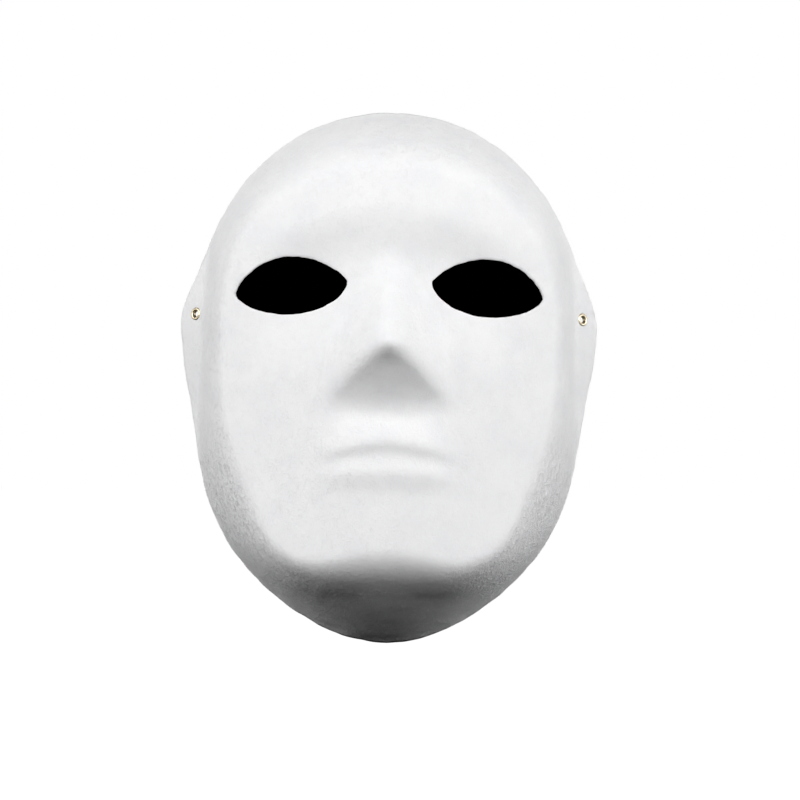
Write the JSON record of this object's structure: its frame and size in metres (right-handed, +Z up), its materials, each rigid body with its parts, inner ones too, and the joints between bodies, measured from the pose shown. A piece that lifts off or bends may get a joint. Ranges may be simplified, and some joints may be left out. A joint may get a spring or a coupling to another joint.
{
  "type": "blank full-face mask",
  "caption": "White moulded-pulp full-face mask with almond eye openings, a closed mouth and flared temple tabs, each with a small brass strap eyelet.",
  "frame": {"origin": "on the middle plane, level with the middle of the eye openings, in the plane of the rim that faces the wearer", "axes": "+Z up the face, +Y towards the wearer, so the face looks along -Y; +X towards the wearer's left"},
  "size_m": [0.1924, 0.0848, 0.2465],
  "materials": {
    "pulp": "matte white moulded pulp with fine fibres",
    "brass": "satin brass, a little tarnished"
  },
  "bodies": {
    "root": {"mask_shell": "pulp", "eyelet_left": "brass", "eyelet_right": "brass"}
  },
  "joints": []
}
